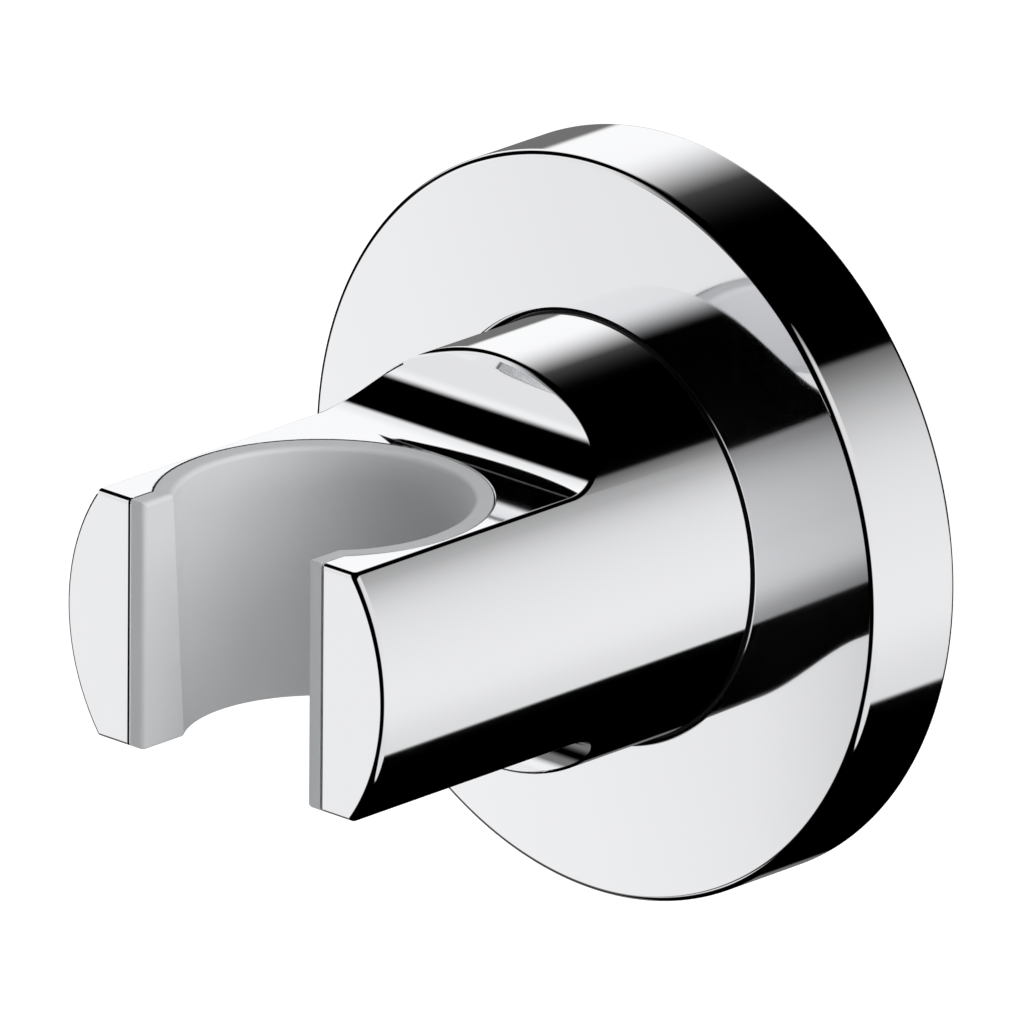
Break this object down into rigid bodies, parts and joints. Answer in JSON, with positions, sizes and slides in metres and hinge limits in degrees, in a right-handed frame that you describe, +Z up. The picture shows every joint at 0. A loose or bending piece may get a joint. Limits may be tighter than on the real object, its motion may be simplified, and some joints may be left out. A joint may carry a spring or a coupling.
{
  "type": "wall-mounted hand shower holder",
  "caption": "Fixed wall holder for a hand shower: round cover, cylindrical head with coved flats and an open keyhole seat with a tapered plastic liner.",
  "frame": {"origin": "centre of the flat back, on the wall plane", "axes": "+Y into the wall along the head's axis, -Y out to the fork, +Z up (the handset drops in along -Z), +X to the right of someone facing the wall"},
  "size_m": [0.06, 0.05, 0.06],
  "materials": {
    "polished_chrome": "mirror-polished chrome plate on brass",
    "liner_plastic": "fine satin moulded grey plastic",
    "ring_rubber": "smooth black rubber",
    "plate_metal": "plain turned metal, dull",
    "screw_steel": "stainless steel, machined"
  },
  "bodies": {
    "root": {"holder_head": "polished_chrome", "wall_cover": "polished_chrome", "seat_liner": "liner_plastic", "cover_ring": "ring_rubber", "wall_plate": "plate_metal", "head_grub_screw": "screw_steel"}
  },
  "joints": []
}
